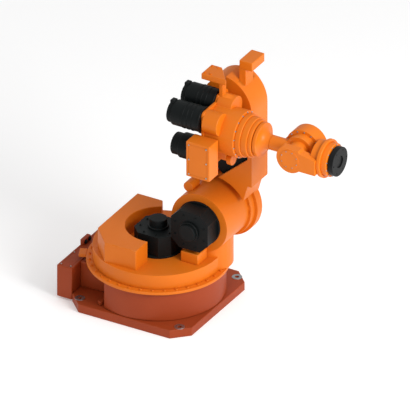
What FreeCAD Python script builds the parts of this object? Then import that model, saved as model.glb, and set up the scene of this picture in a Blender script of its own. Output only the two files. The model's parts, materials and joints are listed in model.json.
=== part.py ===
import FreeCAD, Part
import os
import re
import Sketcher

# A heavy floor-standing six-axis robot arm, in millimetres.
# X points forward, Y to the robot's left, Z up; the origin is the underside of the base plate, on axis 1.

document = FreeCAD.newDocument("robot_arm")

# ---------------------------------------------------------------- driving sizes
SIZES = {
    # clearances and seats
    "bearing_gap": 0.3, "running_gap": 6, "swing_gap": 8,
    # base
    "plate_side": 1106, "plate_chamfer": 130, "plate_height": 76,
    "anchor_spacing": 920, "anchor_radius": 16,
    "drum_radius": 544, "drum_height": 254, "drum_flat_depth": 292, "drum_flat_start": 219,
    "rail_radius": 430,
    "rear_box_depth": 139, "rear_box_low": 431, "rear_box_high": 288,
    "rear_box_foot": 16, "rear_box_height": 288,
    "cable_block_depth": 36, "cable_block_width": 112, "cable_block_height": 46,
    "lug_radius": 22, "lug_height": 34, "lug_back": 269, "lug_side": 460,
    # turning column
    "disc_radius": 580, "disc_height": 26, "ring_radius": 528, "ring_height": 126,
    "tab_angle": 202, "tab_width": 104, "tab_reach": 640,
    "deck_height": 176, "deck_back": 392, "deck_front": 66, "deck_right": 476, "deck_left": 344,
    "deck_corner_right": 294, "deck_corner_back": 224, "deck_step": 120, "deck_end": 277,
    "deck_end_back": 160, "pocket_radius": 290, "pocket_forward": 24,
    # square motors with bevelled edges
    "motor_side": 340, "motor_bevel": 76, "motor_flange_radius": 194, "motor_flange_width": 16,
    "cap_radius": 86, "cap_tip_radius": 72, "cap_step": 20, "cap_one_length": 80, "cap_two_length": 44,
    "motor_one_forward": 32, "motor_one_side": 56, "motor_one_height": 192,
    # shoulder, axis 2
    "shoulder_forward": 383, "shoulder_height": 790, "shoulder_radius": 256,
    "shoulder_right": 11, "shoulder_left": 336, "pillar_back": 236,
    "lobe_forward": 400, "motor_two_length": 160,
    "step_back": 296, "step_front": 456, "step_side": 160, "step_height": 94,
    "ring_two_radius": 280, "ring_two_width": 61, "stop_angle": 51, "stop_reach": 312, "stop_width": 60,
    "buffer_radius": 44, "buffer_length": 112, "buffer_side": 64, "buffer_angle": 120, "buffer_reach": 290,
    # link arm, axis 3
    "hub_radius": 304, "hub_width": 75, "hub_relief": 10, "link_reach_forward": 65, "link_length": 986,
    "elbow_radius": 288, "crown_radius": 208, "crown_forward": 48, "crown_rise": 48, "elbow_inner": 216,
    "link_front": 736, "link_front_wall": 40,
    "link_step_height": 310, "link_step": 37, "link_toe_forward": 270, "link_toe_height": 148,
    "heel_back": 105, "heel_height": 130, "link_back": 215, "link_back_rise": 360, "link_back_drop": 276,
    "link_inner_radius": 320, "gusset_thickness": 40, "gusset_rise": 232, "gusset_run": 264,
    "gusset_drop": 432, "chamber_rise": 318, "hub_cover_radius": 196, "hub_cover_depth": 22,
    "elbow_cover_radius": 176, "motor_three_forward": 520,
    "motor_three_length": 118, "far_block_back": 588, "far_block_front": 708, "far_block_right": 272,
    "far_block_rise": 358, "far_block_height": 77, "far_riser_front": 648, "far_riser_left": 392,
    # arm housing, axis 4
    "axis_drop": 56, "housing_radius": 198, "housing_front": 800, "collar_radius": 180, "collar_width": 48,
    "front_ring_radius": 168, "front_ring_width": 56, "roll_seat_radius": 156, "roll_seat_width": 32,
    "flange_back": 512, "flange_thickness": 24, "flange_right": 208,
    "flange_left": 192, "flange_drop": 344, "flange_rise": 218, "flange_high_rise": 264,
    "flange_high_side": 12, "flange_high_run": 32, "flange_round": 36,
    "arm_hub_radius": 160, "arm_hub_width": 88, "arm_bearing_radius": 150,
    "arm_motor_radius": 106, "arm_motor_length": 264, "arm_tail_radius": 92, "arm_tail_length": 44,
    "long_tail_length": 72, "socket_width": 56, "socket_height": 112,
    "motor_four_side": 30, "motor_four_drop": 238, "motor_five_side": 144, "motor_five_rise": 122,
    "motor_six_side": 86, "motor_six_rise": 170, "boss_radius": 96, "boss_length": 136,
    "shaft_tube_radius": 52, "shaft_tube_length": 176,
    "box_back": 456, "box_front": 672, "box_depth": 144, "box_drop": 304, "box_rise": 16,
    "near_block_back": 380, "near_block_front": 608, "near_block_short": 477, "near_block_right": 24,
    "near_block_left": 192, "near_block_rise": 380, "near_block_height": 52, "near_riser_front": 566,
    "near_riser_right": 44, "near_riser_left": 104,
    # forearm and wrist
    "roll_bearing_radius": 120, "roll_flange_radius": 144, "roll_flange_length": 34,
    "cone_radius": 136, "neck_radius": 62, "wrist_forward": 1308, "heel_length": 192, "heel_drop": 76,
    "heel_rise": 12, "wrist_disc_radius": 158, "wrist_disc_inner": 48, "wrist_disc_outer": 172,
    "wrist_boss_radius": 128, "wrist_boss_side": 20, "wrist_tip_radius": 92,
    # hand and tool flange
    "cheek_inner": 96, "cheek_outer": 172, "cheek_radius": 122,
    "cheek_drop": 88, "cheek_rise": 94, "cheek_rise_front": 48, "turn_housing_radius": 140,
    "turn_housing_length": 152, "turn_ring_radius": 162, "turn_ring_start": 70, "turn_ring_width": 34,
    "tool_bearing_radius": 80, "tool_radius": 124, "tool_thickness": 44, "tool_circle": 200,
    "tool_holes": 6, "tool_hole_radius": 6, "tool_hole_depth": 22, "pilot_radius": 50, "pilot_depth": 10,
}

sheet = document.addObject("Spreadsheet::Sheet", "dims")
for row, (alias, value) in enumerate(SIZES.items(), start=1):
    sheet.set("A%d" % row, alias)
    sheet.set("B%d" % row, str(value))
    sheet.setAlias("B%d" % row, alias)

# Places worked out from the driving sizes, each in a cell of its own.
PLACES = {
    "drum_top": "plate_height + drum_height",
    "disc_foot": "drum_top + running_gap",
    "disc_top": "disc_foot + disc_height",
    "ring_top": "disc_top + ring_height",
    "hub_inner": "shoulder_left + ring_two_width",
    "hub_outer": "hub_inner + hub_width",
    "elbow_forward": "shoulder_forward + link_reach_forward",
    "elbow_height": "shoulder_height + link_length",
    "link_back_low": "shoulder_height + link_back_rise",
    "link_back_high": "elbow_height - link_back_drop",
    "gusset_top": "elbow_height - gusset_drop",
    "chamber_floor": "shoulder_height + chamber_rise",
    "motor_three_height": "chamber_floor + swing_gap + motor_side / 2",
    "far_block_foot": "elbow_height + far_block_rise",
    "arm_left": "elbow_inner - swing_gap",
    "roll_height": "elbow_height - axis_drop",
    "flange_foot": "roll_height - flange_drop",
    "flange_top": "roll_height + flange_rise",
    "flange_high_top": "roll_height + flange_high_rise",
    "box_foot": "roll_height - box_drop",
    "box_top": "roll_height + box_rise",
    "near_block_foot": "roll_height + near_block_rise",
    "housing_back": "flange_back + flange_thickness",
    "seat_front": "housing_front + collar_width + front_ring_width + roll_seat_width",
    "roll_back": "seat_front + running_gap",
    "cone_back": "roll_back + roll_flange_length",
    "neck_back": "cone_back + cone_radius - neck_radius",
    "turn_housing_back": "wrist_forward + wrist_disc_radius + running_gap",
    "cheek_front": "turn_housing_back + turn_ring_start",
    "turn_housing_front": "turn_housing_back + turn_housing_length",
    "tool_back": "turn_housing_front + swing_gap",
}


def bound(text):
    """An expression with each size or place taken from the sheet."""
    def cell(match):
        word = match.group()
        return "dims." + word if word in SIZES or word in PLACES else word
    return re.sub(r"[a-z][a-z_]*", cell, text)


for row, (alias, formula) in enumerate(PLACES.items(), start=len(SIZES) + 1):
    sheet.set("A%d" % row, alias)
    sheet.set("B%d" % row, "=" + bound(formula).replace("dims.", ""))
    sheet.setAlias("B%d" % row, alias)
document.recompute()


def size(alias):
    return float(sheet.get(alias))


# ---------------------------------------------------------------- ways of making a shape
TURNS = {
    "x": FreeCAD.Rotation(FreeCAD.Vector(0, 1, 0), 90),
    "y": FreeCAD.Rotation(FreeCAD.Vector(1, 0, 0), -90),
    "z": FreeCAD.Rotation(),
}
pieces = []


def keep(shape):
    """Marks a shape as a sub-part that gets a file of its own."""
    pieces.append(shape)
    return shape


def place(shape, at, rotation=FreeCAD.Rotation()):
    shape.Placement = FreeCAD.Placement(FreeCAD.Vector(), rotation)
    for axis, expression in zip("xyz", at):
        shape.setExpression("Placement.Base." + axis, bound(expression))


def block(name, low, high):
    """A box between two corners."""
    box = document.addObject("Part::Box", name)
    for side, start, end in zip(("Length", "Width", "Height"), low, high):
        box.setExpression(side, bound("(%s) - (%s)" % (end, start)))
    place(box, low)
    return box


def rod(name, axis, at, radius, length):
    """A cylinder that starts at a point and runs along an axis."""
    cylinder = document.addObject("Part::Cylinder", name)
    cylinder.setExpression("Radius", bound(radius))
    cylinder.setExpression("Height", bound(length))
    place(cylinder, at, TURNS[axis])
    return cylinder


def fuse(name, *shapes):
    joined = document.addObject("Part::MultiFuse", name)
    joined.Shapes = list(shapes)
    joined.Refine = True
    return joined


def cut(name, base, *tools):
    """The base less each tool in turn."""
    for number, tool in enumerate(tools, start=1):
        last = number == len(tools)
        result = document.addObject("Part::Cut", name if last else "%s_cut_%d" % (name, number))
        result.Base = base
        result.Tool = tool
        base = result
    return base


def prism(name, plane, points, start, end):
    """A body padded from a closed sketch of straight sides, between two places on the plane's axis."""
    body = document.addObject("PartDesign::Body", name)
    sketch = body.newObject("Sketcher::SketchObject", name + "_outline")
    plane_feature = next(f for f in body.Origin.OriginFeatures if f.Role == plane + "_Plane")
    sketch.AttachmentSupport = [(plane_feature, "")]
    sketch.MapMode = "FlatFace"
    # The XZ plane faces -Y, so its offset is counted the other way.
    offset = "-(%s)" % end if plane == "XZ" else start
    sketch.setExpression("AttachmentOffset.Base.z", bound(offset))
    count = len(points)
    guess = [FreeCAD.Vector(*(evaluate(value) for value in point), 0) for point in points]
    for number in range(count):
        sketch.addGeometry(Part.LineSegment(guess[number], guess[(number + 1) % count]), False)
    for number in range(count):
        sketch.addConstraint(Sketcher.Constraint("Coincident", number, 2, (number + 1) % count, 1))
    for number, point in enumerate(points):
        for kind, value in zip(("DistanceX", "DistanceY"), point):
            made = sketch.addConstraint(Sketcher.Constraint(kind, -1, 1, number, 1, evaluate(value)))
            sketch.setExpression("Constraints[%d]" % made, bound(value))
    pad = body.newObject("PartDesign::Pad", name + "_pad")
    pad.Profile = sketch
    pad.setExpression("Length", bound("(%s) - (%s)" % (end, start)))
    sketch.Visibility = False
    return body


def evaluate(text):
    """The number that an expression on the sheet's cells comes to."""
    return float(sheet.evalExpression(bound(text).replace("dims.", "")))


def rounded(body, radius, chosen):
    """Rounds the edges of a padded body whose middle point passes a test."""
    document.recompute()
    last = body.Tip
    edges = []
    for number, edge in enumerate(last.Shape.Edges, start=1):
        middle = edge.valueAt((edge.FirstParameter + edge.LastParameter) / 2)
        if chosen(middle):
            edges.append("Edge%d" % number)
    fillet = body.newObject("PartDesign::Fillet", body.Name + "_round")
    fillet.Base = (last, edges)
    fillet.setExpression("Radius", bound(radius))
    last.Visibility = False
    return body


def bevelled_square(middle_x, middle_y):
    """The eight corners of a motor's section about its middle."""
    half = "motor_side / 2"
    flat = "(motor_side / 2 - motor_bevel)"
    corners = [(half, "-" + flat), (half, flat), (flat, half), ("-" + flat, half),
               ("-" + half, flat), ("-" + half, "-" + flat), ("-" + flat, "-" + half), (flat, "-" + half)]
    return [("(%s) + %s" % (middle_x, across), "(%s) + %s" % (middle_y, up)) for across, up in corners]


def stepped_cap(name, axis, at, foot_radius, tip_radius, step, length, direction=1):
    """A round cap in two steps; direction -1 lets it stand against its axis."""
    sign = "" if direction > 0 else "-1 * "
    along = "xyz".index(axis)
    def from_foot(distance):
        spot = list(at)
        spot[along] = "(%s) + %s(%s)" % (at[along], sign, distance)
        return spot
    foot = from_foot("0") if direction > 0 else from_foot(step)
    tip = from_foot(step) if direction > 0 else from_foot(length)
    return fuse(name,
                rod(name + "_foot", axis, foot, foot_radius, step),
                rod(name + "_tip", axis, tip, tip_radius, "(%s) - (%s)" % (length, step)))


# ---------------------------------------------------------------- base
half_side = "plate_side / 2"
half_flat = "(plate_side / 2 - plate_chamfer)"
plate_blank = prism("base_plate_blank", "XY", [
    (half_side, "-" + half_flat), (half_side, half_flat), (half_flat, half_side), ("-" + half_flat, half_side),
    ("-" + half_side, half_flat), ("-" + half_side, "-" + half_flat), ("-" + half_flat, "-" + half_side),
    (half_flat, "-" + half_side)], "0", "plate_height")
anchors = [rod("anchor_hole_%d%d" % (i, j), "z",
               ("%d * anchor_spacing / 2" % i, "%d * anchor_spacing / 2" % j, "-1"),
               "anchor_radius", "plate_height + 2")
           for i in (-1, 1) for j in (-1, 1)]
keep(cut("base_plate", plate_blank, *anchors))

# The drum is cut flat on both sides behind its middle, and a block carries it back to the connector box.
drum_round = rod("drum_round", "z", ("0", "0", "plate_height"), "drum_radius", "drum_height")
flat_right = block("drum_flat_right", ("-drum_radius - 1", "-drum_radius - 1", "plate_height - 1"),
                   ("-drum_flat_start", "-drum_flat_depth", "drum_top + 1"))
flat_left = block("drum_flat_left", ("-drum_radius - 1", "drum_flat_depth", "plate_height - 1"),
                  ("-drum_flat_start", "drum_radius + 1", "drum_top + 1"))
drum_cut = cut("drum_cut", drum_round, flat_right, flat_left)
drum_tail = block("drum_tail", ("-plate_side / 2", "-drum_flat_depth", "plate_height"),
                  ("-drum_flat_start", "drum_flat_depth", "rear_box_foot + rear_box_height"))
keep(fuse("base_drum", drum_cut, drum_tail))
keep(rod("slewing_ring", "z", ("0", "0", "drum_top"), "rail_radius", "running_gap - bearing_gap"))
keep(block("rear_connector_box", ("-plate_side / 2 - rear_box_depth", "-rear_box_low", "rear_box_foot"),
           ("-plate_side / 2", "rear_box_high", "rear_box_foot + rear_box_height")))
keep(block("rear_cable_block",
           ("-plate_side / 2 - rear_box_depth", "-cable_block_width / 2", "rear_box_foot + rear_box_height"),
           ("-plate_side / 2 - rear_box_depth + cable_block_depth", "cable_block_width / 2",
            "rear_box_foot + rear_box_height + cable_block_height")))
keep(rod("locating_stud", "z", ("-lug_back", "-lug_side", "plate_height"), "lug_radius", "lug_height"))

# ---------------------------------------------------------------- turning column
keep(rod("turntable_disc", "z", ("0", "0", "disc_foot"), "disc_radius", "disc_height"))
tab = document.addObject("Part::Box", "tab_bar")
tab.setExpression("Length", bound("tab_reach"))
tab.setExpression("Width", bound("tab_width"))
tab.setExpression("Height", bound("disc_height"))
place(tab, ("tab_width / 2 * sin(tab_angle * 1deg)", "-tab_width / 2 * cos(tab_angle * 1deg)", "disc_foot"),
      FreeCAD.Rotation(FreeCAD.Vector(0, 0, 1), size("tab_angle")))
tab_hollow = rod("tab_hollow", "z", ("0", "0", "disc_foot - 1"), "disc_radius", "disc_height + 2")
keep(cut("stop_tab", tab, tab_hollow))

ring = rod("ring_body", "z", ("0", "0", "disc_top"), "ring_radius", "ring_height")
deck_blank = prism("deck_blank", "XY", [
    ("-deck_back", "-deck_corner_right"), ("-deck_corner_back", "-deck_right"), ("deck_front", "-deck_right"),
    ("deck_front", "0"), ("-deck_step", "0"), ("-deck_step", "deck_end"), ("-deck_end_back", "deck_left"),
    ("-deck_back", "deck_left")], "ring_top", "ring_top + deck_height")
pocket = rod("deck_pocket", "z", ("pocket_forward", "0", "ring_top"), "pocket_radius", "deck_height + 1")
deck = cut("deck", deck_blank, pocket)
shoulder_round = rod("shoulder_round", "y", ("shoulder_forward", "-shoulder_right", "shoulder_height"),
                     "shoulder_radius", "shoulder_right + shoulder_left")
pillar = block("pillar", ("pillar_back", "-shoulder_right", "disc_top"),
               ("lobe_forward", "shoulder_left", "shoulder_height"))
lobe = rod("lobe", "z", ("lobe_forward", "(shoulder_left - shoulder_right) / 2", "disc_top"),
           "(shoulder_left + shoulder_right) / 2", "shoulder_height - disc_top")
column_whole = fuse("column_whole", ring, deck, pillar, lobe, shoulder_round)
hub_room = rod("hub_room", "y", ("shoulder_forward", "shoulder_left + ring_two_width - hub_relief",
                                 "shoulder_height"), "hub_radius + hub_relief", "ring_radius")
ring_two_room = rod("ring_two_room", "y", ("shoulder_forward", "shoulder_left", "shoulder_height"),
                    "ring_two_radius", "ring_radius")
motor_one_room = block(
    "motor_one_room",
    ("motor_one_forward", "-motor_one_side", "ring_top"),
    ("motor_one_forward + motor_flange_radius + running_gap",
     "-motor_one_side + motor_flange_radius + running_gap",
     "ring_top + motor_one_height + cap_one_length + running_gap"))
keep(cut("column_casting", column_whole, hub_room, ring_two_room, motor_one_room))

keep(fuse("axis_1_motor",
          prism("axis_1_motor_case", "XY", bevelled_square("motor_one_forward", "-motor_one_side"),
                "ring_top", "ring_top + motor_one_height"),
          rod("axis_1_motor_foot", "z", ("motor_one_forward", "-motor_one_side", "ring_top"),
              "motor_flange_radius", "motor_flange_width")))
keep(stepped_cap("axis_1_motor_cap", "z",
                 ("motor_one_forward", "-motor_one_side", "ring_top + motor_one_height"),
                 "cap_radius", "cap_tip_radius", "cap_step", "cap_one_length"))
keep(block("shoulder_step", ("step_back", "-step_side", "ring_top"),
           ("step_front", "-shoulder_right", "ring_top + step_height")))

keep(fuse("axis_2_motor",
          prism("axis_2_motor_case", "XZ", bevelled_square("shoulder_forward", "shoulder_height"),
                "-shoulder_right - motor_two_length", "-shoulder_right"),
          rod("axis_2_motor_foot", "y", ("shoulder_forward", "-shoulder_right - motor_flange_width",
                                         "shoulder_height"), "motor_flange_radius", "motor_flange_width")))
keep(stepped_cap("axis_2_motor_cap", "y",
                 ("shoulder_forward", "-shoulder_right - motor_two_length", "shoulder_height"),
                 "cap_radius", "cap_tip_radius", "cap_step", "cap_two_length", -1))
ring_two = rod("shoulder_ring_round", "y", ("shoulder_forward", "shoulder_left", "shoulder_height"),
               "ring_two_radius", "ring_two_width - bearing_gap")
stop = document.addObject("Part::Box", "shoulder_ring_stop")
stop.setExpression("Length", bound("stop_reach"))
stop.setExpression("Width", bound("ring_two_width - hub_relief"))
stop.setExpression("Height", bound("stop_width"))
place(stop, ("shoulder_forward + stop_width / 2 * sin(stop_angle * 1deg)", "shoulder_left",
             "shoulder_height - stop_width / 2 * cos(stop_angle * 1deg)"),
      FreeCAD.Rotation(FreeCAD.Vector(0, 1, 0), -size("stop_angle")))
keep(fuse("shoulder_ring", ring_two, stop))
buffer_blank = rod("stop_buffer_blank", "y",
                   ("shoulder_forward + buffer_reach * cos(buffer_angle * 1deg)", "buffer_side",
                    "shoulder_height + buffer_reach * sin(buffer_angle * 1deg)"),
                   "buffer_radius", "buffer_length")
buffer_seat = rod("stop_buffer_seat", "y", ("shoulder_forward", "buffer_side - 1", "shoulder_height"),
                  "shoulder_radius", "buffer_length + 2")
keep(cut("stop_buffer", buffer_blank, buffer_seat))

# ---------------------------------------------------------------- link arm
toe = ("shoulder_forward + link_toe_forward", "shoulder_height + link_toe_height")
link_heel = ("link_back - heel_back", "shoulder_height + heel_height")
link_side = prism("link_side", "XZ", [
    toe, ("link_front - link_step", "shoulder_height + link_step_height"),
    ("link_front", "shoulder_height + link_step_height"), ("link_front", "elbow_height"),
    ("elbow_forward + crown_forward - crown_radius", "elbow_height"), ("link_back", "link_back_high"),
    ("link_back", "link_back_low"), link_heel], "elbow_inner", "hub_outer")
chamber = block("motor_chamber", ("0", "elbow_inner + gusset_thickness", "chamber_floor"),
                ("link_front - link_front_wall", "hub_inner", "elbow_height"))
gusset_slope = "gusset_rise / gusset_run"
window = prism("gusset_window", "XZ", [
    ("0", "gusset_top - (link_front - link_front_wall) * " + gusset_slope),
    ("link_front - link_front_wall", "gusset_top"), ("link_front - link_front_wall", "elbow_height"),
    ("0", "elbow_height")], "elbow_inner - 1", "elbow_inner + gusset_thickness")
swing_room = rod("swing_room", "y", ("shoulder_forward", "elbow_inner - 1", "shoulder_height"),
                 "link_inner_radius", "hub_inner - elbow_inner + 1")
link_shell = cut("link_shell", link_side, chamber, window, swing_room)
lower_hub = rod("lower_hub", "y", ("shoulder_forward", "hub_inner", "shoulder_height"), "hub_radius", "hub_width")
drum_round_top = rod("elbow_round", "y", ("elbow_forward", "elbow_inner", "elbow_height"),
                     "elbow_radius", "hub_outer - elbow_inner")
# The drum's back and top are lower than its front: a smaller round crown over a straight back.
crown = rod("elbow_crown", "y", ("elbow_forward + crown_forward", "elbow_inner - 1", "elbow_height + crown_rise"),
            "crown_radius", "hub_outer - elbow_inner + 2")
crown_front = block("elbow_crown_front", ("elbow_forward + crown_forward", "elbow_inner - 1", "elbow_height"),
                    ("link_front + 1", "hub_outer + 1", "elbow_height + elbow_radius"))
crown_foot = block("elbow_crown_foot",
                   ("elbow_forward + crown_forward - crown_radius", "elbow_inner - 1", "elbow_height - elbow_radius"),
                   ("link_front + 1", "hub_outer + 1", "elbow_height + crown_rise"))
upper_drum = document.addObject("Part::Common", "upper_drum")
upper_drum.Base = drum_round_top
upper_drum.Tool = fuse("elbow_envelope", crown, crown_front, crown_foot)
# On a short link the motor reaches up to the drum, which is hollowed for it.
motor_three_room = prism("motor_three_room", "XZ", bevelled_square("motor_three_forward", "motor_three_height"),
                         "hub_inner - motor_three_length", "hub_inner")
drum_hollowed = cut("drum_hollowed", upper_drum, motor_three_room)
far_riser = block("far_riser", ("far_block_back", "far_block_right", "elbow_height"),
                  ("far_riser_front", "far_riser_left", "far_block_foot"))
keep(fuse("link_arm", link_shell, lower_hub, drum_hollowed, far_riser))
keep(rod("lower_hub_cover", "y", ("shoulder_forward", "hub_outer", "shoulder_height"),
         "hub_cover_radius", "hub_cover_depth"))
keep(rod("elbow_cover", "y", ("elbow_forward", "hub_outer", "elbow_height"),
         "elbow_cover_radius", "hub_cover_depth"))
keep(prism("axis_3_motor", "XZ", bevelled_square("motor_three_forward", "motor_three_height"),
           "hub_inner - motor_three_length", "hub_inner"))
keep(block("far_top_bracket", ("far_block_back", "far_block_right", "far_block_foot"),
           ("far_block_front", "hub_outer", "far_block_foot + far_block_height")))

# ---------------------------------------------------------------- arm housing
housing_tube = rod("housing_tube", "x", ("housing_back", "0", "roll_height"),
                   "housing_radius", "housing_front - housing_back")
MOTORS = {
    "axis_4_motor": ("-motor_four_side", "roll_height - motor_four_drop"),
    "axis_5_motor": ("-motor_five_side", "roll_height + motor_five_rise"),
    "axis_6_motor": ("motor_six_side", "roll_height + motor_six_rise"),
}
bosses = [rod(name + "_boss", "x", ("housing_back", *MOTORS[name]), "boss_radius", "boss_length")
          for name in ("axis_5_motor", "axis_6_motor")]
near_riser = block("near_riser", ("housing_back", "near_riser_right", "roll_height"),
                   ("near_riser_front", "near_riser_left", "near_block_foot"))
web = block("lower_web", ("housing_back", "-motor_four_side - shaft_tube_radius", "roll_height - motor_four_drop"),
            ("housing_back + boss_length", "-motor_four_side + shaft_tube_radius", "roll_height"))
arm_hub = rod("arm_hub", "y", ("elbow_forward", "arm_left - arm_hub_width", "elbow_height"),
              "arm_hub_radius", "arm_hub_width")
hub_bridge = block("hub_bridge", ("elbow_forward", "arm_left - arm_hub_width", "elbow_height - arm_hub_radius"),
                   ("housing_back + boss_length", "arm_left", "elbow_height"))
motor_rooms = [rod(name + "_room", "x", ("flange_back - arm_motor_length", *MOTORS[name]),
                   "arm_motor_radius + running_gap", "arm_motor_length")
               for name in MOTORS]
flange_room = block("flange_room", ("flange_back", "-flange_right", "flange_foot"),
                    ("housing_back", "flange_left", "flange_high_top"))
arm_whole = fuse("arm_whole", housing_tube, *bosses, near_riser, web, arm_hub, hub_bridge)
keep(cut("arm_housing", arm_whole, flange_room, *motor_rooms))
keep(rounded(
    prism("motor_flange", "YZ", [
        ("-flange_right", "flange_foot"), ("flange_left", "flange_foot"), ("flange_left", "flange_high_top"),
        ("flange_high_side + flange_high_run", "flange_high_top"), ("flange_high_side", "flange_top"),
        ("-flange_right", "flange_top")], "flange_back", "housing_back"),
    "flange_round",
    lambda middle: abs(middle.y) > size("flange_left") - 1
    and abs(middle.x - (size("flange_back") + size("flange_thickness") / 2)) < 1))
keep(rod("elbow_bearing", "y", ("elbow_forward", "arm_left", "elbow_height"),
         "arm_bearing_radius", "swing_gap - bearing_gap"))
for name, (side, height) in MOTORS.items():
    lowest = name == "axis_4_motor"
    tail_length = "long_tail_length" if lowest else "arm_tail_length"
    motor_back = "flange_back - arm_motor_length"
    keep(rod(name, "x", (motor_back, side, height), "arm_motor_radius", "arm_motor_length"))
    tail = rod(name + "_tail" + ("" if lowest else "_round"), "x", (motor_back + " - " + tail_length, side, height),
               "arm_tail_radius", tail_length)
    if not lowest:
        # The two upper motors carry a cable socket on top of the tail.
        socket = block(name + "_socket", (motor_back + " - " + tail_length, side + " - socket_width / 2", height),
                       (motor_back, side + " + socket_width / 2", height + " + socket_height"))
        tail = fuse(name + "_tail", tail, socket)
    keep(tail)
shaft_side, shaft_height = MOTORS["axis_4_motor"]
shaft_tube = rod("lower_shaft_tube_whole", "x", ("housing_back + boss_length", shaft_side, shaft_height),
                 "shaft_tube_radius", "shaft_tube_length - boss_length")
keep(cut("lower_shaft_tube", shaft_tube, housing_tube))
keep(block("junction_box", ("box_back", "-flange_right - box_depth", "box_foot"),
           ("box_front", "-flange_right", "box_top")))
keep(prism("near_top_bracket", "XY", [
    ("near_block_back", "near_block_right"), ("near_block_front", "near_block_right"),
    ("near_block_short", "near_block_left"), ("near_block_back", "near_block_left")],
    "near_block_foot", "near_block_foot + near_block_height"))
keep(rod("forearm_collar", "x", ("housing_front", "0", "roll_height"), "collar_radius", "collar_width"))
keep(rod("forearm_ring", "x", ("housing_front + collar_width", "0", "roll_height"),
         "front_ring_radius", "front_ring_width"))
keep(rod("roll_seat", "x", ("seat_front - roll_seat_width", "0", "roll_height"),
         "roll_seat_radius", "roll_seat_width"))
keep(rod("roll_bearing", "x", ("seat_front", "0", "roll_height"), "roll_bearing_radius", "running_gap - bearing_gap"))

# ---------------------------------------------------------------- forearm and wrist
keep(rod("forearm_flange", "x", ("roll_back", "0", "roll_height"), "roll_flange_radius", "roll_flange_length"))
# The trumpet: a cylinder hollowed by a torus, so that it sweeps from the flange down to the neck.
trumpet_blank = rod("trumpet_blank", "x", ("cone_back", "0", "roll_height"), "cone_radius",
                    "cone_radius - neck_radius")
trumpet_sweep = document.addObject("Part::Torus", "trumpet_sweep")
trumpet_sweep.setExpression("Radius1", bound("cone_radius"))
trumpet_sweep.setExpression("Radius2", bound("cone_radius - neck_radius"))
place(trumpet_sweep, ("neck_back", "0", "roll_height"), TURNS["x"])
keep(cut("forearm_cone", trumpet_blank, trumpet_sweep))
neck = rod("neck", "x", ("neck_back", "0", "roll_height"), "neck_radius", "wrist_forward - neck_back")
wrist_disc = rod("wrist_disc", "y", ("wrist_forward", "wrist_disc_inner", "roll_height"),
                 "wrist_disc_radius", "wrist_disc_outer - wrist_disc_inner")
wrist_boss = rod("wrist_boss", "y", ("wrist_forward", "-wrist_boss_side", "roll_height"),
                 "wrist_boss_radius", "wrist_boss_side + wrist_disc_inner")
wrist_tip = rod("wrist_tip", "y", ("wrist_forward", "-cheek_inner + bearing_gap", "roll_height"),
                "wrist_tip_radius", "cheek_inner - bearing_gap")
heel = block("wrist_heel", ("wrist_forward - heel_length", "0", "roll_height - heel_drop"),
             ("wrist_forward", "wrist_disc_outer", "roll_height + heel_rise"))
keep(fuse("wrist_yoke", neck, wrist_disc, wrist_boss, wrist_tip, heel))

# ---------------------------------------------------------------- hand and tool flange
cheek_round = rod("cheek_round", "y", ("wrist_forward", "-cheek_outer", "roll_height"),
                  "cheek_radius", "cheek_outer - cheek_inner")
cheek_bar = prism("cheek_bar", "XZ", [
    ("wrist_forward", "roll_height - cheek_drop"), ("cheek_front", "roll_height - cheek_drop"),
    ("cheek_front", "roll_height + cheek_rise_front"), ("wrist_forward", "roll_height + cheek_rise")],
    "-cheek_outer", "-cheek_inner")
cheek_above = block("cheek_above", ("wrist_forward - cheek_radius", "-cheek_outer - 1", "roll_height + cheek_rise"),
                    ("wrist_forward + cheek_radius", "-cheek_inner + 1", "roll_height + cheek_radius + 1"))
cheek_whole = fuse("cheek_whole", cut("cheek_low_round", cheek_round, cheek_above), cheek_bar)
turn_room = rod("turn_room", "x", ("turn_housing_back", "0", "roll_height"),
                "turn_housing_radius", "turn_housing_length")
keep(cut("hand_cheek", cheek_whole, turn_room))
keep(rod("axis_6_housing", "x", ("turn_housing_back", "0", "roll_height"),
         "turn_housing_radius", "turn_housing_length"))
ring_start = "turn_housing_back + turn_ring_start"
turn_ring = rod("turn_ring", "x", (ring_start, "0", "roll_height"), "turn_ring_radius", "turn_ring_width")
turn_ring_bore = rod("turn_ring_bore", "x", (ring_start + " - 1", "0", "roll_height"),
                     "turn_housing_radius", "turn_ring_width + 2")
keep(cut("axis_6_ring", turn_ring, turn_ring_bore))
keep(rod("tool_bearing", "x", ("turn_housing_front", "0", "roll_height"),
         "tool_bearing_radius", "swing_gap - bearing_gap"))
tool_disc = rod("tool_disc", "x", ("tool_back", "0", "roll_height"), "tool_radius", "tool_thickness")
tool_front = "tool_back + tool_thickness"
pilot = rod("tool_pilot", "x", (tool_front + " - pilot_depth", "0", "roll_height"), "pilot_radius", "pilot_depth + 1")
tool_holes = []
for number in range(int(SIZES["tool_holes"])):
    turn = "(%d * 360deg / tool_holes)" % number
    tool_holes.append(rod("tool_hole_%d" % number, "x",
                          (tool_front + " - tool_hole_depth", "tool_circle / 2 * cos%s" % turn,
                           "roll_height + tool_circle / 2 * sin%s" % turn),
                          "tool_hole_radius", "tool_hole_depth + 1"))
keep(cut("tool_flange", tool_disc, pilot, *tool_holes))

# ---------------------------------------------------------------- check and write
document.recompute()
for thing in document.Objects:
    if {"Invalid", "Error"} & set(thing.State):
        raise RuntimeError("%s failed: %s" % (thing.Name, thing.State))
for piece in pieces:
    if piece.Shape.isNull() or not piece.Shape.isValid():
        raise RuntimeError("%s has no valid shape" % piece.Label)
    if len(piece.Shape.Solids) != 1:
        raise RuntimeError("%s has %d solids" % (piece.Label, len(piece.Shape.Solids)))
os.makedirs("parts", exist_ok=True)
for piece in pieces:
    piece.Shape.exportStep("parts/%s.step" % piece.Label)
print("wrote %d sub-parts" % len(pieces))
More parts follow.
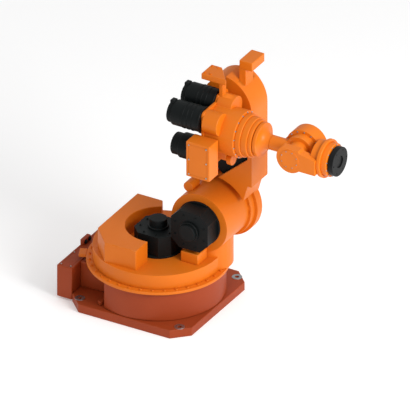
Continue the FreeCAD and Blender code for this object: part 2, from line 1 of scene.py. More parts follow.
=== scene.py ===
# %% [markdown]
# # A floor-standing jointed-arm robot
# The castings, motors and covers come measured from the CAD frame. This lesson gives them the small
# things that make metal look real: edges that are rounded as a mould leaves them, bolts, lids and
# sockets, and paint with a little life in it. Each code cell does one step, and prints what it made
# where it made something.

# %% Load the frame
import json
import math

import bmesh
import bpy
from mathutils import Matrix, Vector


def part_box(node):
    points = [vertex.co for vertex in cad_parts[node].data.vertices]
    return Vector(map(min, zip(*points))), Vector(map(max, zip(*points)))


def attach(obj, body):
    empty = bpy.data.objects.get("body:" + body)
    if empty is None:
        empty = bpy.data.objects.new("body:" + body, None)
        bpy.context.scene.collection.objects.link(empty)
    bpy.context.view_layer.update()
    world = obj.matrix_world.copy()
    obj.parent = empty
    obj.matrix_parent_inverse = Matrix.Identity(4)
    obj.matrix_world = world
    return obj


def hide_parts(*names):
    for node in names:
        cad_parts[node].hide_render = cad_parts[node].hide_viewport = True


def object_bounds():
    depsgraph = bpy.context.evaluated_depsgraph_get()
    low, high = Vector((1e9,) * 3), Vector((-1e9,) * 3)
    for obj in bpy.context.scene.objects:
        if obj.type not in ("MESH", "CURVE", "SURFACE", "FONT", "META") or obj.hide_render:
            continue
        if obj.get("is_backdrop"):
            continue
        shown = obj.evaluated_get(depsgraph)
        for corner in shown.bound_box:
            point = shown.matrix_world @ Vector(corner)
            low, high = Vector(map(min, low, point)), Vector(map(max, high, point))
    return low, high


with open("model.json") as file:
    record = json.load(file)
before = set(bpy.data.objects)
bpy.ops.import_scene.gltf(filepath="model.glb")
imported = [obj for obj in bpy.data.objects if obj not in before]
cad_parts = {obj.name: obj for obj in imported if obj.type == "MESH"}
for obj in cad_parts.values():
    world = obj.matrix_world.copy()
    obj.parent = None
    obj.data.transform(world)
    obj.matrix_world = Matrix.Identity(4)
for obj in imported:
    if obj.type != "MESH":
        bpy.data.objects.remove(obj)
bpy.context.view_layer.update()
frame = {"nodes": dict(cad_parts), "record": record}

body_of = {node: body for body, nodes in frame["record"]["behaviour"]["bodies"].items()
           for node in nodes}
slot_of = {part["node"]: part["material_slot"] for part in frame["record"]["subparts"]}

# %% [markdown]
# ## The camera
# The robot is seen from its right front corner and from above. A parallel camera keeps its upright and
# level edges parallel, as a drawing does; a long lens from far away would come close to the same look.
# The view transform is Standard, so that paint keeps the colour it was mixed with.

# %% Camera
VIEW_TURN = math.radians(30)
VIEW_RISE = math.radians(30)
FRAME_WIDTH = 3.28
LOOK_AT = Vector((0.4295, 0.0, 0.962))
CAMERA_DISTANCE = 14.0
FAR_LIMIT = 100

towards_camera = Vector((math.sin(VIEW_TURN) * math.cos(VIEW_RISE),
                         -math.cos(VIEW_TURN) * math.cos(VIEW_RISE),
                         math.sin(VIEW_RISE)))
lens = bpy.data.cameras.new("front_corner")
lens.type = "ORTHO"
lens.ortho_scale = FRAME_WIDTH
lens.clip_end = FAR_LIMIT
camera = bpy.data.objects.new("front_corner", lens)
camera.location = LOOK_AT + towards_camera * CAMERA_DISTANCE
camera.rotation_euler = towards_camera.to_track_quat("Z", "Y").to_euler()
bpy.context.scene.collection.objects.link(camera)
bpy.context.scene.camera = camera
bpy.context.scene.view_settings.view_transform = "Standard"
print("camera stands at", [round(value, 2) for value in camera.location])

# %% [markdown]
# ## Writing a shader as sums
# A node tree reads badly as a list of links. A small class that holds one socket, and knows how to add,
# take away and multiply, lets a mask be written as an ordinary expression. Each operator has its
# reflected twin, so that a plain number may stand on either side.

# %% A socket that does arithmetic
class Wave:
    """One output socket. Sums with it make Math nodes."""

    def __init__(self, tree, socket):
        self.tree = tree
        self.socket = socket

    def combine(self, operation, first, second):
        maths = self.tree.nodes.new("ShaderNodeMath")
        maths.operation = operation
        for place, value in zip(maths.inputs, (first, second)):
            if isinstance(value, Wave):
                self.tree.links.new(value.socket, place)
            else:
                place.default_value = value
        return Wave(self.tree, maths.outputs[0])

    def __add__(self, other):
        return self.combine("ADD", self, other)

    def __radd__(self, other):
        return self.combine("ADD", other, self)

    def __sub__(self, other):
        return self.combine("SUBTRACT", self, other)

    def __rsub__(self, other):
        return self.combine("SUBTRACT", other, self)

    def __mul__(self, other):
        return self.combine("MULTIPLY", self, other)

    def __rmul__(self, other):
        return self.combine("MULTIPLY", other, self)


# %% [markdown]
# ## Building a finish
# A second class builds the material. Its one general method makes any node from its type, its settings
# and its inputs, and the short methods after it name the few patterns that the paints share: where the
# surface faces up, a soft cloud, a ramp, a blend of two colours, and worn edges. The Mix node has
# several inputs of the same name, so an input may also be given by its number, as in0.

# %% A finish, built from nodes
BLEND_COLOUR_OUTPUT = 2


class Finish:
    """A material whose surface node is a Principled BSDF."""

    def __init__(self, name, **fixed):
        self.material = bpy.data.materials.new(name)
        self.material.use_nodes = True
        self.tree = self.material.node_tree
        self.surface = self.tree.nodes["Principled BSDF"]
        self.paint(**fixed)

    def feed(self, place, value):
        """Links a socket to an input, or sets the input to a plain value."""
        if isinstance(value, Wave):
            self.tree.links.new(value.socket, place)
        else:
            place.default_value = value

    def paint(self, **inputs):
        """Feeds the surface node's own sockets."""
        for socket, value in inputs.items():
            self.feed(self.surface.inputs[socket.replace("_", " ")], value)

    def node(self, kind, settings=None, output=0, **inputs):
        """Makes a node, sets it up, feeds its inputs and returns one output."""
        made = self.tree.nodes.new("ShaderNode" + kind)
        for setting, value in (settings or {}).items():
            setattr(made, setting, value)
        for socket, value in inputs.items():
            place = int(socket[2:]) if socket.startswith("in") else socket
            self.feed(made.inputs[place], value)
        return Wave(self.tree, made.outputs[output])

    def position(self):
        return self.node("TexCoord", output="Object")

    def ramp(self, value, low, high):
        """Nought up to low, one from high on, and a straight climb between them."""
        return self.node("MapRange", {"clamp": True}, Value=value,
                         **{"From Min": low, "From Max": high})

    def facing_up(self):
        """One where the surface faces up at rest, nought where it faces down or sideways."""
        normal = self.node("TexCoord", output="Normal")
        return self.ramp(self.node("SeparateXYZ", output="Z", Vector=normal), 0.55, 1.0)

    def cloud(self, scale, detail=3.0, roughness=0.5):
        """Soft noise, from nought to one, with cells about one metre over its scale."""
        return self.node("TexNoise", output="Fac", Vector=self.position(), Scale=scale, Detail=detail,
                         Roughness=roughness)

    def blend(self, amount, first, second):
        """The first colour where amount is nought, the second where it is one."""
        return self.node("Mix", {"data_type": "RGBA"}, output=BLEND_COLOUR_OUTPUT, in0=amount,
                         in6=first, in7=second)

    def worn(self, amount):
        """One on rounded edges where the coat has rubbed thin, nought elsewhere."""
        edge = self.node("Attribute", {"attribute_name": "edge"}, output="Fac")
        patch = self.cloud(16.0, 5.0, 0.65) * 1.4 + self.cloud(120.0, 2.0) * 0.4
        return self.ramp(edge * patch, 0.98 - amount, 1.1 - amount)

    def raise_by(self, height, distance, strength=1.0):
        """A Bump node that pushes the surface out by height, in metres times distance."""
        return self.node("Bump", Height=height, Distance=distance, Strength=strength)


# %% [markdown]
# ## Paint on castings
# The arm wears a satin orange coat over cast iron. Sprayed paint on a casting is never one flat colour:
# the coat is a little thicker and darker in places, it has a fine orange-peel skin over the rougher sand
# texture below, and dust settles on what faces up. All of that is noise, from half a metre in size down
# to a grain. Where people and slings rub against it, the coat thins on its edges to a paler primer; the
# rounded edges carry a number called "edge" for this, which is one on the middle of the rounding and
# nought at its sides.

# %% Sprayed paint
PEEL_SCALE = 520
SAND_SCALE = 110
DUST_SCALE = 9.0
DRIFT_SCALE = 2.6
SKIN_DEPTH = 0.0009


def opaque(colour):
    """A colour with full alpha."""
    return (*colour, 1)


def sprayed_paint(name, colour, deep, dusty, primer, roughness):
    """A satin coat that drifts to deep, to dusty on top and to primer on worn edges."""
    coat = Finish(name, Metallic=0.0, Coat_Roughness=0.25, Specular_IOR_Level=0.2)
    drift = coat.ramp(coat.cloud(DRIFT_SCALE, 4.0), 0.35, 0.7)
    clean = coat.blend(drift * 0.55, opaque(colour), opaque(deep))
    dust = coat.facing_up() * coat.cloud(DUST_SCALE, 5.0, 0.6) * 0.25
    peel = coat.cloud(PEEL_SCALE, 2.0)
    sand = coat.cloud(SAND_SCALE, 4.0, 0.6)
    wear = coat.worn(0.12)
    coat.paint(
        Base_Color=coat.blend(wear * 0.6, coat.blend(dust, clean, opaque(dusty)), opaque(primer)),
        Roughness=roughness + drift * 0.08 + dust * 0.3 + wear * 0.15,
        Coat_Weight=0.07 - dust * 0.15,
        Normal=coat.raise_by(peel * 0.3 + sand, SKIN_DEPTH, 0.35))
    return coat.material


orange = sprayed_paint("orange_paint", colour=(0.70, 0.163, 0.006), deep=(0.63, 0.135, 0.004),
                       dusty=(0.64, 0.19, 0.03), primer=(0.74, 0.32, 0.10), roughness=0.42)
base_red = sprayed_paint("base_paint", colour=(0.33, 0.048, 0.009), deep=(0.26, 0.036, 0.007),
                         dusty=(0.25, 0.060, 0.02), primer=(0.32, 0.13, 0.07), roughness=0.5)
print("sprayed:", orange.name, "and", base_red.name)

# %% [markdown]
# ## Black motors
# The motors are die-cast and painted satin black; the tool flange is blackened steel, and a little
# smoother. Black shows its dust and its rubbed edges as grey, so one lifted colour serves for both.

# %% Black paint
def satin_black(name, colour, lift, roughness):
    """A dark coat that greys a little where dust lies and where edges rub."""
    coat = Finish(name, Metallic=0.0, Coat_Roughness=0.3, Specular_IOR_Level=0.12)
    dust = coat.facing_up() * coat.cloud(14.0, 5.0, 0.6)
    mottle = coat.cloud(5.0, 4.0)
    wear = coat.worn(0.16)
    coat.paint(
        Base_Color=coat.blend(dust * 0.4 + mottle * 0.2 + wear * 0.8, opaque(colour), opaque(lift)),
        Roughness=roughness + mottle * 0.12,
        Coat_Weight=0.04 - dust * 0.04,
        Normal=coat.raise_by(coat.cloud(260, 3.0), 0.0007, 0.4))
    return coat.material


motor_black = satin_black("motor_black", colour=(0.0030, 0.0042, 0.0044),
                          lift=(0.014, 0.017, 0.017), roughness=0.44)
tool_black = satin_black("tool_black", colour=(0.0040, 0.0044, 0.0046),
                         lift=(0.016, 0.017, 0.017), roughness=0.38)
print("satin:", motor_black.name, "and", tool_black.name)

# %% [markdown]
# ## Bare metal
# The bearings and most bolts are ground steel, and the lid screws are zinc plated. Grinding leaves a
# fine grain in one direction, which is noise drawn out along one axis: the scale is small along the
# grain and large across it.

# %% Steel and zinc
GRAIN_SCALE = 60.0


def brushed(name, colour, roughness, stretch):
    """Metal whose fine grain is drawn out along one axis."""
    metal = Finish(name, Metallic=1.0)
    grain_place = metal.node("Mapping", Vector=metal.position(), Scale=stretch)
    grain = metal.node("TexNoise", output="Fac", Vector=grain_place, Scale=GRAIN_SCALE, Detail=4.0)
    shade = [channel * 0.7 for channel in colour]
    metal.paint(
        Base_Color=metal.blend(grain, opaque(colour), opaque(shade)),
        Roughness=roughness + grain * 0.15,
        Normal=metal.raise_by(grain, 0.0003, 0.3))
    return metal.material


bearing_steel = brushed("bearing_steel", (0.46, 0.46, 0.47), roughness=0.32, stretch=(1, 14, 14))
zinc = brushed("zinc_plate", (0.58, 0.57, 0.54), roughness=0.34, stretch=(9, 9, 1))

FINISHES = {"orange_paint": orange, "base_paint": base_red, "motor_black": motor_black,
            "tool_black": tool_black, "bearing_steel": bearing_steel}
for node, made in frame["nodes"].items():
    for place in made.material_slots:
        place.material = FINISHES[slot_of[node]]
print("finishes:", ", ".join(FINISHES))

# %% [markdown]
# ## Making pieces
# Every new piece is a bmesh that is turned into a mesh with its place already in it, so the object can
# stay at the origin. The same few lines finish each one: faces smooth, and edges that turn sharply kept
# crisp. A narrow rounding beside a large flat face would bend the shading of the whole face, so a
# Weighted Normal modifier lets the larger face decide.

# %% Finishing a piece
CRISP = math.radians(35)


def piece(name, mesh, body, slot, finish=None):
    """Turns a bmesh into a finished object that rides on a body."""
    data = bpy.data.meshes.new(name)
    mesh.to_mesh(data)
    mesh.free()
    data.shade_smooth()
    data.set_sharp_from_angle(angle=CRISP)
    data.materials.append(finish or FINISHES[slot])
    made = bpy.data.objects.new(name, data)
    bpy.context.scene.collection.objects.link(made)
    weighted = made.modifiers.new("flat_faces_stay_flat", "WEIGHTED_NORMAL")
    weighted.keep_sharp = True
    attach(made, body)
    return made


# %% [markdown]
# ## Rounded edges on the castings
# CAD leaves every edge knife sharp, and a sharp edge never catches the light. One way is to model each
# casting again with loops round its corners. It is quicker to bevel the outward edges of the CAD mesh.
# The bevel narrows itself where edges crowd together, so edges that aren't joined are bevelled apart
# and each group keeps as much rounding as it has room for.

# %% Sharp edges in joined groups
SHARP = math.radians(33)


def joined_groups(edges):
    """Splits edges into groups that hang together."""
    left = set(edges)
    groups = []
    while left:
        waiting = [left.pop()]
        group = []
        while waiting:
            edge = waiting.pop()
            group.append(edge)
            near = {other for vert in edge.verts for other in vert.link_edges} & left
            left -= near
            waiting.extend(near)
        groups.append(group)
    return groups


def bevel(mesh, edges, width, clamp=True):
    """Rounds edges with two strips of faces, and returns those faces."""
    made = bmesh.ops.bevel(mesh, geom=edges, offset=width, offset_type="OFFSET", segments=2,
                           profile=0.5, affect="EDGES", clamp_overlap=clamp, material=-1)
    return made["faces"]


def round_edges(mesh, width, clamp):
    """Bevels each group of sharp outward edges, and marks the middle of each rounding."""
    sharp = [edge for edge in mesh.edges
             if len(edge.link_faces) == 2 and edge.calc_face_angle_signed(0) > SHARP]
    groups = [sorted(group, key=lambda edge: edge.index) for group in joined_groups(sharp)]
    strips = set()
    for group in sorted(groups, key=lambda group: group[0].index):
        strips.update(bevel(mesh, group, width, clamp))
    edge_mark = mesh.verts.layers.float.new("edge")
    for vert in mesh.verts:
        if vert.link_faces and all(face in strips for face in vert.link_faces):
            vert[edge_mark] = 1.0


# %% [markdown]
# ## A copy that stands in
# The CAD mesh comes as loose triangles. Its doubles are welded and its flat triangles dissolved into
# whole faces, so that the bevel meets only real edges. The finished copy then replaces the node that it
# came from. A lid or a panel can be cut after the rounding, while the faces are still whole.

# %% Rounded copies
FLAT = math.radians(0.6)
WELD = 0.00002


def rounded_copy(node, width, clamp=True, after=None):
    """Makes a copy of a CAD node with its sharp edges rounded, which replaces it."""
    mesh = bmesh.new()
    mesh.from_mesh(frame["nodes"][node].data)
    bmesh.ops.remove_doubles(mesh, verts=mesh.verts, dist=WELD)
    bmesh.ops.dissolve_limit(mesh, angle_limit=FLAT, verts=mesh.verts, edges=mesh.edges,
                             use_dissolve_boundaries=False)
    mesh.edges.index_update()
    round_edges(mesh, width, clamp)
    if after:
        after(mesh)
    made = piece(node + "_finished", mesh, body_of[node], slot_of[node])
    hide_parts(node)


# %% [markdown]
# ## How wide each rounding is
# The widths are what each casting's edges look like on such a machine: large foundry radii on the base,
# the column and the arms, and small turned ones on rings and flanges. The link arm and the wrist yoke
# have short edges where curves meet, and the bevel would narrow all of theirs to fit. Those two go
# without that limit, which costs the link arm a few folded faces that are too small to see.

# %% All castings, motors and covers
ROUNDING = {
    "base_plate": 0.006, "base_drum": 0.010, "rear_cable_block": 0.005, "locating_stud": 0.004,
    "turntable_disc": 0.005, "stop_tab": 0.006, "shoulder_step": 0.008, "axis_1_motor_cap": 0.006,
    "axis_2_motor_cap": 0.006, "shoulder_ring": 0.006, "stop_buffer": 0.008,
    "lower_hub_cover": 0.006, "elbow_cover": 0.006, "axis_3_motor": 0.005, "far_top_bracket": 0.006,
    "motor_flange": 0.005, "axis_4_motor": 0.005, "axis_4_motor_tail": 0.006,
    "axis_5_motor": 0.005, "axis_5_motor_tail": 0.006, "axis_6_motor": 0.005,
    "axis_6_motor_tail": 0.006, "lower_shaft_tube": 0.006, "near_top_bracket": 0.006,
    "forearm_collar": 0.006, "forearm_ring": 0.006, "roll_seat": 0.005, "forearm_flange": 0.006,
    "hand_cheek": 0.009, "axis_6_housing": 0.005, "axis_6_ring": 0.006, "tool_flange": 0.003,
    "column_casting": 0.006, "link_arm": 0.003, "arm_housing": 0.006, "wrist_yoke": 0.006,
    "axis_1_motor": 0.006, "axis_2_motor": 0.006,
}
UNLIMITED = ("link_arm", "wrist_yoke")
for node, width in ROUNDING.items():
    rounded_copy(node, width, clamp=node not in UNLIMITED)
print(len(ROUNDING), "nodes rounded")

# %% [markdown]
# ## Lids and recessed panels
# A lid is told from a plain block by the fine groove round it, and a connector panel is sunk so that a
# passing pallet can't knock it. Both are insets of one face, some of them sunk or raised: the groove
# goes down, along and up again. The walls lean a little, as a mould needs.

# %% Groove and recess
DRAFT = 0.0015


def face_towards(mesh, direction):
    """The largest face that looks along a direction."""
    return max(mesh.faces, key=lambda face: face.normal.dot(Vector(direction)) * face.calc_area())


def insets(mesh, direction, steps):
    """Insets one face again and again, by a width and a rise each time."""
    face = face_towards(mesh, direction)
    for width, rise in steps:
        bmesh.ops.inset_region(mesh, faces=[face], thickness=width, depth=rise,
                               use_even_offset=True)


def recess(mesh, direction, margin, depth):
    """Sinks the middle of a face."""
    insets(mesh, direction, [(margin, 0.0), (DRAFT, -depth)])


def groove(mesh, direction, margin, width, depth):
    """Cuts a thin groove inside the edge of a face."""
    insets(mesh, direction, [(margin, 0.0), (DRAFT, -depth), (width, 0.0), (DRAFT, depth)])


# %% [markdown]
# The junction box has a screwed lid on its outer side. The connector box has its lid on top, and its
# panel at the back, where the plugs go in.

# %% The two boxes
GROOVE = {"width": 0.002, "depth": 0.003}
PANEL_MARGIN = 0.050
PANEL_DEPTH = 0.016


def junction_lid(mesh):
    groove(mesh, (0, -1, 0), margin=0.014, **GROOVE)


def connector_panel(mesh):
    recess(mesh, (-1, 0, 0), PANEL_MARGIN, PANEL_DEPTH)
    groove(mesh, (0, 0, 1), margin=0.012, **GROOVE)


rounded_copy("junction_box", 0.007, after=junction_lid)
rounded_copy("rear_connector_box", 0.008, after=connector_panel)
print("junction box and connector box have their lid and panel")

# %% [markdown]
# ## Turned parts
# Screws, plugs, connector sockets and bands are all turned on a lathe, so one helper makes them: it
# spins an outline of radius and height about an axis. Welding the doubles closes the two ends. Each
# shape is finished in a mesh of its own before it joins the others.

# %% A lathe
UP = Vector((0, 0, 1))
FORWARD = (1, 0, 0)
BACK = (-1, 0, 0)
LEFT = (0, 1, 0)
RIGHT = (0, -1, 0)


def along(place, axis):
    """The matrix that carries a shape from the origin to place, with its height along axis."""
    turn = UP.rotation_difference(Vector(axis))
    return Matrix.Translation(Vector(place)) @ turn.to_matrix().to_4x4()


def add_shape(mesh, shape):
    """Moves a finished shape into a mesh that holds several."""
    carrier = bpy.data.meshes.new("carrier")
    shape.to_mesh(carrier)
    shape.free()
    mesh.from_mesh(carrier)
    bpy.data.meshes.remove(carrier)


def turned(mesh, outline, place, axis, steps):
    """Adds one turned shape to a mesh."""
    shape = bmesh.new()
    corners = [shape.verts.new((radius, 0, height)) for radius, height in outline]
    lines = [shape.edges.new(pair) for pair in zip(corners, corners[1:])]
    bmesh.ops.spin(shape, geom=corners + lines, cent=(0, 0, 0), axis=(0, 0, 1), angle=math.tau,
                   steps=steps, use_merge=True)
    bmesh.ops.remove_doubles(shape, verts=shape.verts, dist=WELD / 4)
    bmesh.ops.recalc_face_normals(shape, faces=shape.faces)
    bmesh.ops.transform(shape, matrix=along(place, axis), verts=shape.verts)
    add_shape(mesh, shape)


# %% [markdown]
# ## Screws
# Cap screws hold every cover and flange. Their heads are turned cylinders with a broken edge and a
# socket, and they sink a hair into what they hold so that no gap shows. A ring of them is one piece,
# with its number and radius read as they would be off a drawing.

# %% Cap screws
SUNK = 0.0008
SCREW_STEPS = 12


def screw_outline(head):
    """A cap screw's head, from the bottom of its socket out and down to its seat."""
    height = head * 0.9
    return [(0, height * 0.45), (head * 0.5, height * 0.45), (head * 0.55, height),
            (head * 0.86, height), (head, height * 0.8), (head, -SUNK), (0, -SUNK)]


def screws(name, body, slot, places, axis, head, finish=None):
    """Makes one piece that holds a cap screw at each place."""
    mesh = bmesh.new()
    for place in places:
        turned(mesh, screw_outline(head), place, axis, SCREW_STEPS)
    piece(name, mesh, body, slot, finish)


def circle(centre, axis, radius, count, first=0.0):
    """Places spread evenly round a circle, from a first angle in degrees."""
    matrix = along(centre, axis)
    turns = [math.radians(first + 360 * number / count) for number in range(count)]
    return [matrix @ Vector((radius * math.cos(turn), radius * math.sin(turn), 0)) for turn in turns]


def screw_ring(name, body, slot, centre, axis, radius, count, head, first=0.0):
    """Makes a whole ring of screws about a centre."""
    screws(name, body, slot, circle(centre, axis, radius, count, first), axis, head)


# %% [markdown]
# The arm's turning axes give each ring its middle, and the faces of the CAD nodes give its height. The
# screws on the turntable's ledge are painted over with the rest of the column.

# %% Screws on the covers and rings
SHOULDER_X, SHOULDER_Z = 0.383, 0.790
ELBOW_X, ELBOW_Z = 0.448, 1.776
WRIST_X, ROLL_Z = 1.308, 1.720
WRIST_DISC_FACE = 0.048
TOOL_HOUSING_FACE = 1.624

hub_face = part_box("link_arm")[1][1]
cover_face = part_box("lower_hub_cover")[1][1]
elbow_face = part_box("elbow_cover")[1][1]
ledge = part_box("turntable_disc")[1][2]
housing_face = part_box("arm_housing")[1][0]

screw_ring("ledge_screws", "column", "orange_paint", (0, 0, ledge), UP,
           radius=0.552, count=36, head=0.011, first=5)
screw_ring("hub_screws", "link", "bearing_steel", (SHOULDER_X, hub_face, SHOULDER_Z), LEFT,
           radius=0.255, count=18, head=0.012)
screw_ring("hub_cover_screws", "link", "bearing_steel", (SHOULDER_X, cover_face, SHOULDER_Z), LEFT,
           radius=0.172, count=12, head=0.009, first=15)
screw_ring("elbow_cover_screws", "link", "bearing_steel", (ELBOW_X, elbow_face, ELBOW_Z), LEFT,
           radius=0.152, count=12, head=0.009, first=15)
screw_ring("collar_screws", "arm", "bearing_steel", (housing_face, 0, ROLL_Z), FORWARD,
           radius=0.189, count=16, head=0.0065, first=11)
screw_ring("wrist_disc_screws", "forearm", "bearing_steel", (WRIST_X, WRIST_DISC_FACE, ROLL_Z), RIGHT,
           radius=0.143, count=14, head=0.0065, first=8)
screw_ring("tool_housing_screws", "hand", "bearing_steel", (TOOL_HOUSING_FACE, 0, ROLL_Z), FORWARD,
           radius=0.132, count=12, head=0.0055, first=15)
print("screws stand on hub", round(hub_face, 4), "ledge", round(ledge, 4),
      "housing", round(housing_face, 4))

# %% [markdown]
# The three big motors are held by eight screws each, black like the motor. The shoulder ring is hidden
# behind the column on one side, so only the half that shows has screws.

# %% Screws on the big motors and the shoulder
BIG_MOTORS = {
    "axis_1_motor": ("column", (0.032, -0.056, 0.680), UP),
    "axis_2_motor": ("column", (SHOULDER_X, -0.171, SHOULDER_Z), RIGHT),
    "axis_3_motor": ("link", (0.520, 0.279, 1.286), RIGHT),
}
SHOULDER_RING_FACE = 0.336
SHOULDER_SCREWS_SHOWN = 13

for motor, (body, centre, axis) in BIG_MOTORS.items():
    screw_ring(motor + "_screws", body, "motor_black", centre, axis,
               radius=0.145, count=8, head=0.008, first=22.5)
shoulder_places = circle((SHOULDER_X, SHOULDER_RING_FACE, SHOULDER_Z), RIGHT,
                         radius=0.2685, count=24)
screws("shoulder_ring_screws", "column", "orange_paint", shoulder_places[:SHOULDER_SCREWS_SHOWN],
       RIGHT, head=0.008)
print(len(BIG_MOTORS), "big motors screwed down")

# %% [markdown]
# Lids have their screws in rows, a little in from the edge. The rows are worked out from each lid's box.

# %% Screws on lids and the near bracket
LID_HEAD = 0.0065
JUNCTION_EDGE = 0.028
CONNECTOR_ENDS = 0.026
CONNECTOR_ROWS = (0.03, 0.24)

lid_low, lid_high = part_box("junction_box")
lid_places = [(x, lid_low[1], z) for x in (lid_low[0] + JUNCTION_EDGE, lid_high[0] - JUNCTION_EDGE)
              for z in (lid_low[2] + JUNCTION_EDGE, (lid_low[2] + lid_high[2]) / 2,
                        lid_high[2] - JUNCTION_EDGE)]
screws("junction_lid_screws", "arm", "bearing_steel", lid_places, RIGHT, LID_HEAD, zinc)

box_low, box_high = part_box("rear_connector_box")
rows = ([box_low[1] + inward for inward in CONNECTOR_ROWS]
        + [box_high[1] - inward for inward in reversed(CONNECTOR_ROWS)])
top_places = [(x, y, box_high[2]) for x in (box_low[0] + CONNECTOR_ENDS, box_high[0] - CONNECTOR_ENDS)
              for y in rows]
screws("connector_lid_screws", "base", "bearing_steel", top_places, UP, LID_HEAD, zinc)

bracket_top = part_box("near_top_bracket")[1][2]
bracket_places = [(x, y, bracket_top) for x in (0.400, 0.455) for y in (0.048, 0.168)]
screws("near_bracket_screws", "arm", "orange_paint", bracket_places, UP, head=0.009)
print(len(lid_places), "lid screws on the arm and", len(top_places), "on the base")

# %% [markdown]
# ## Bands and ribs
# Each arm motor has a square-cut band where it meets its plate and three cooling ribs round its body.
# Both are flat rings on the same lathe, and reach a little way into the motor. Six screws close its tail.

# %% Motor bands
INSIDE = 0.002
BAND_PROUD = 0.006
BAND_WIDTH = 0.014
RIB_PROUD = 0.0035
RIB_WIDTH = 0.012
RIB_PLACES = (0.10, 0.14, 0.18)
ROUND_STEPS = 64


def band_outline(inner, outer, low, high):
    """A flat ring with its outer corners broken."""
    broken = min(outer - inner, high - low) * 0.25
    return [(inner, low), (inner, high), (outer - broken, high), (outer, high - broken),
            (outer, low + broken), (outer - broken, low), (inner, low)]


for motor in ("axis_4_motor", "axis_5_motor", "axis_6_motor"):
    (back, right, foot), (front, left, top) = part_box(motor)
    radius = (left - right) / 2
    centre = (back, (left + right) / 2, (top + foot) / 2)
    length = front - back
    rings = [(BAND_PROUD, length - BAND_WIDTH, length - SUNK)]
    rings += [(RIB_PROUD, place, place + RIB_WIDTH) for place in RIB_PLACES]
    bands = bmesh.new()
    for proud, low, high in rings:
        turned(bands, band_outline(radius - INSIDE, radius + proud, low, high), centre, FORWARD,
               ROUND_STEPS)
    piece(motor + "_bands", bands, "arm", "motor_black")
    tail_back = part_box(motor + "_tail")[0][0]
    screw_ring(motor + "_tail_screws", "arm", "motor_black", (tail_back, centre[1], centre[2]), BACK,
               radius=0.074, count=6, head=0.006, first=30)
    print(motor, "radius", round(radius, 4), "tail ends at", round(tail_back, 4))

# %% [markdown]
# ## Covers at the wrist
# The wrist's two ends are closed by thin round covers with a raised rim, each held by its own ring of
# screws on that rim.

# %% Round covers at the wrist
def cover_outline(radius, thickness):
    """A thin lid with a raised rim, closed at its middle and below."""
    floor_height = thickness * 0.7
    return [(0, floor_height), (radius * 0.72, floor_height), (radius * 0.75, thickness),
            (radius - thickness * 0.3, thickness), (radius, floor_height), (radius, -SUNK), (0, -SUNK)]


def wrist_cover(name, body, side, axis, cover_radius, thickness, **ring):
    """Makes a cover on one side of the wrist, and the screws on its rim."""
    cover = bmesh.new()
    turned(cover, cover_outline(cover_radius, thickness), (WRIST_X, side, ROLL_Z), axis, ROUND_STEPS)
    piece(name, cover, body, "orange_paint")
    rim = side + thickness * axis[1]
    screw_ring(name + "_screws", body, "bearing_steel", (WRIST_X, rim, ROLL_Z), axis, **ring)


yoke_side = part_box("wrist_yoke")[1][1]
cheek_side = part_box("hand_cheek")[0][1]
wrist_cover("wrist_yoke_cover", "forearm", yoke_side, LEFT, cover_radius=0.122, thickness=0.007,
            radius=0.106, count=10, head=0.006)
wrist_cover("hand_cheek_cover", "hand", cheek_side, RIGHT, cover_radius=0.084, thickness=0.004,
            radius=0.073, count=8, head=0.0045, first=22.5)
print("wrist covers on", round(yoke_side, 4), "and", round(cheek_side, 4))

# %% [markdown]
# ## Washer seats
# A turned seat surrounds each anchor hole, so that its washer sits flat on the rough plate.

# %% Washer seats round the anchor holes
ANCHOR = 0.460
SEAT_HOLE = 0.018
SEAT_RADIUS = 0.042
SEAT_RISE = 0.003
plate_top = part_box("base_plate")[1][2]
seats = bmesh.new()
for x in (-ANCHOR, ANCHOR):
    for y in (-ANCHOR, ANCHOR):
        turned(seats, band_outline(SEAT_HOLE, SEAT_RADIUS, -SUNK, SEAT_RISE), (x, y, plate_top), UP,
               steps=48)
piece("anchor_seats", seats, "base", "bearing_steel")
print("seats stand on the plate at", round(plate_top, 3))

# %% [markdown]
# ## Connectors
# Power and signals reach a robot through sockets sunk in a panel at its back. The flat ones are a frame
# about a dark well, and the round ones wear a cap while nothing is plugged in.

# %% Flat sockets on the rear panel
SOCKET_DEPTH = 0.013
SOCKET_HALF_WIDTH = 0.062
SOCKET_HALF_HEIGHT = 0.030


def slab(low, high, rounding):
    """A rounded block, given by its corners."""
    shape = bmesh.new()
    bmesh.ops.create_cube(shape, size=1.0)
    low, high = Vector(low), Vector(high)
    bmesh.ops.scale(shape, vec=high - low, verts=shape.verts)
    bmesh.ops.translate(shape, vec=(low + high) / 2, verts=shape.verts)
    bevel(shape, shape.edges[:], rounding)
    return shape


panel_face = box_low[0] + PANEL_DEPTH
flat_sockets = bmesh.new()
for y in (-0.32, -0.16):
    for z in (0.115, 0.205):
        socket_frame = slab(
            (panel_face - SOCKET_DEPTH, y - SOCKET_HALF_WIDTH, z - SOCKET_HALF_HEIGHT),
            (panel_face + SUNK, y + SOCKET_HALF_WIDTH, z + SOCKET_HALF_HEIGHT), 0.003)
        recess(socket_frame, BACK, margin=0.008, depth=0.009)
        add_shape(flat_sockets, socket_frame)
piece("rear_flat_sockets", flat_sockets, "base", "motor_black")
print("the rear panel lies at", round(panel_face, 3), "and has four flat sockets")

# %% [markdown]
# The caps, and the plugs that close spare cable entries on the cable block and on the junction box, are
# lathe work again. An outline starts on its axis at the top, and comes down outside to its seat.

# %% Round sockets and blanking plugs
CAP = [(0, 0.013), (0.020, 0.013), (0.023, 0.010), (0.023, 0.006), (0.031, 0.006), (0.034, 0.003),
       (0.034, -SUNK), (0, -SUNK)]
PLUG = [(0, 0.014), (0.012, 0.014), (0.014, 0.011), (0.014, 0.006), (0.019, 0.006), (0.019, -SUNK),
        (0, -SUNK)]


def turned_row(name, body, outline, places, axis, steps):
    """Makes one black piece that holds the same turned shape at each place."""
    mesh = bmesh.new()
    for place in places:
        turned(mesh, outline, place, axis, steps)
    piece(name, mesh, body, "motor_black")


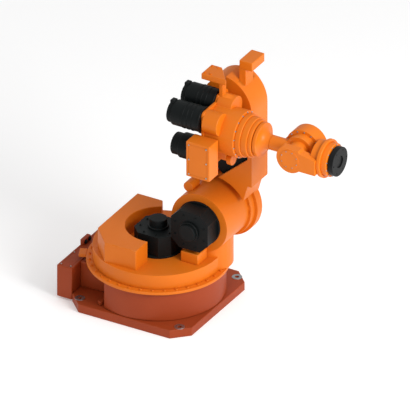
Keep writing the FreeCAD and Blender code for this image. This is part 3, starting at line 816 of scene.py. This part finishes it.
cable_low, cable_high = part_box("rear_cable_block")
cable_middle = (cable_low[2] + cable_high[2]) / 2
lid_middle = (lid_low[1] + lid_high[1]) / 2
cap_places = [(panel_face, y, 0.16) for y in (0.02, 0.11, 0.20)]
block_places = [(cable_high[0], y, cable_middle) for y in (-0.030, 0.030)]
junction_places = [(lid_low[0], lid_middle, z) for z in (1.50, 1.576, 1.65)]
turned_row("rear_round_sockets", "base", CAP, cap_places, BACK, 40)
turned_row("rear_block_plugs", "base", PLUG, block_places, FORWARD, 24)
turned_row("junction_box_plugs", "arm", PLUG, junction_places, BACK, 24)
print(len(cap_places), "round sockets,", len(block_places) + len(junction_places), "plugs")

# %% [markdown]
# ## The floor
# A pale floor takes the shadow. It glows very slightly, so that it stays as pale as its surround where
# the lamp reaches it less, and it lies a millimetre low so that it never fights with the base plate.

# %% Floor
FLOOR_SIZE = 40.0
FLOOR_DROP = 0.001
FLOOR_GLOW = 0.22
floor_mesh = bmesh.new()
bmesh.ops.create_grid(floor_mesh, x_segments=1, y_segments=1, size=FLOOR_SIZE / 2)
floor_data = bpy.data.meshes.new("floor")
floor_mesh.to_mesh(floor_data)
floor_mesh.free()
floor_finish = Finish("pale_floor", Roughness=0.9, Base_Color=(0.93, 0.93, 0.93, 1),
                      Emission_Color=(1, 1, 1, 1), Emission_Strength=FLOOR_GLOW)
floor_data.materials.append(floor_finish.material)
floor = bpy.data.objects.new("floor", floor_data)
floor.location.z = -FLOOR_DROP
bpy.context.scene.collection.objects.link(floor)
floor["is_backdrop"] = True
print("floor laid", FLOOR_SIZE, "m wide")

# %% [markdown]
# ## The light
# A pale surround gives soft light from everywhere; one broad lamp from the robot's front makes the
# front faces brightest, the top next and its right side darkest.

# %% Surround and lamp
SURROUND_STRENGTH = 0.68
LAMP_FROM = Vector((6.0, -1.6, 4.6))
LAMP_WIDTH = 3.0
LAMP_POWER = 360
surround = bpy.data.worlds.new("surround")
surround.use_nodes = True
background = surround.node_tree.nodes["Background"]
background.inputs["Color"].default_value = (1.0, 1.0, 1.0, 1)
background.inputs["Strength"].default_value = SURROUND_STRENGTH
bpy.context.scene.world = surround

lamp_data = bpy.data.lights.new("broad_lamp", "AREA")
lamp_data.shape = "DISK"
lamp_data.size = LAMP_WIDTH
lamp_data.energy = LAMP_POWER
lamp = bpy.data.objects.new("broad_lamp", lamp_data)
lamp.location = LAMP_FROM
lamp.rotation_euler = (LAMP_FROM - LOOK_AT).to_track_quat("Z", "Y").to_euler()
bpy.context.scene.collection.objects.link(lamp)
print("lamp of", LAMP_POWER, "W stands at", [round(value, 2) for value in LAMP_FROM])

# %% [markdown]
# ## Closing
# The box of the finished model is measured, with the floor left out of it.

# %% Sizes and finish
low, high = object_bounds()
